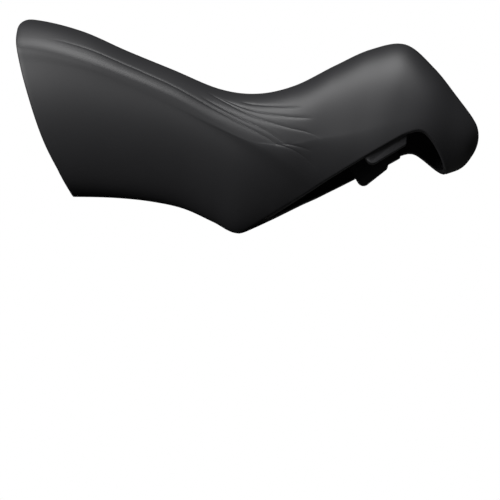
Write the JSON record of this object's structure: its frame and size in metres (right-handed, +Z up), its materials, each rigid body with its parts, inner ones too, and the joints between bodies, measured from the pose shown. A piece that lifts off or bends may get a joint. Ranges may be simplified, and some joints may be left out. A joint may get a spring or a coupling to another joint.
{
  "type": "brake lever hood",
  "caption": "Moulded rubber hood that sleeves over a drop-bar brake lever body, with a rear mouth, a raised horn and an open underside for the lever.",
  "frame": {"origin": "the apex of the keel on the plane of symmetry, where the lever opening starts", "axes": "+X forward to the horn, +Y to the left, +Z up; the plane Y = 0 is the plane of symmetry, and the straight stretch of the keel lies about level"},
  "size_m": [0.1415, 0.0414, 0.0679],
  "materials": {
    "rubber": "matte"
  },
  "bodies": {
    "root": {"hood": "rubber"}
  },
  "joints": []
}
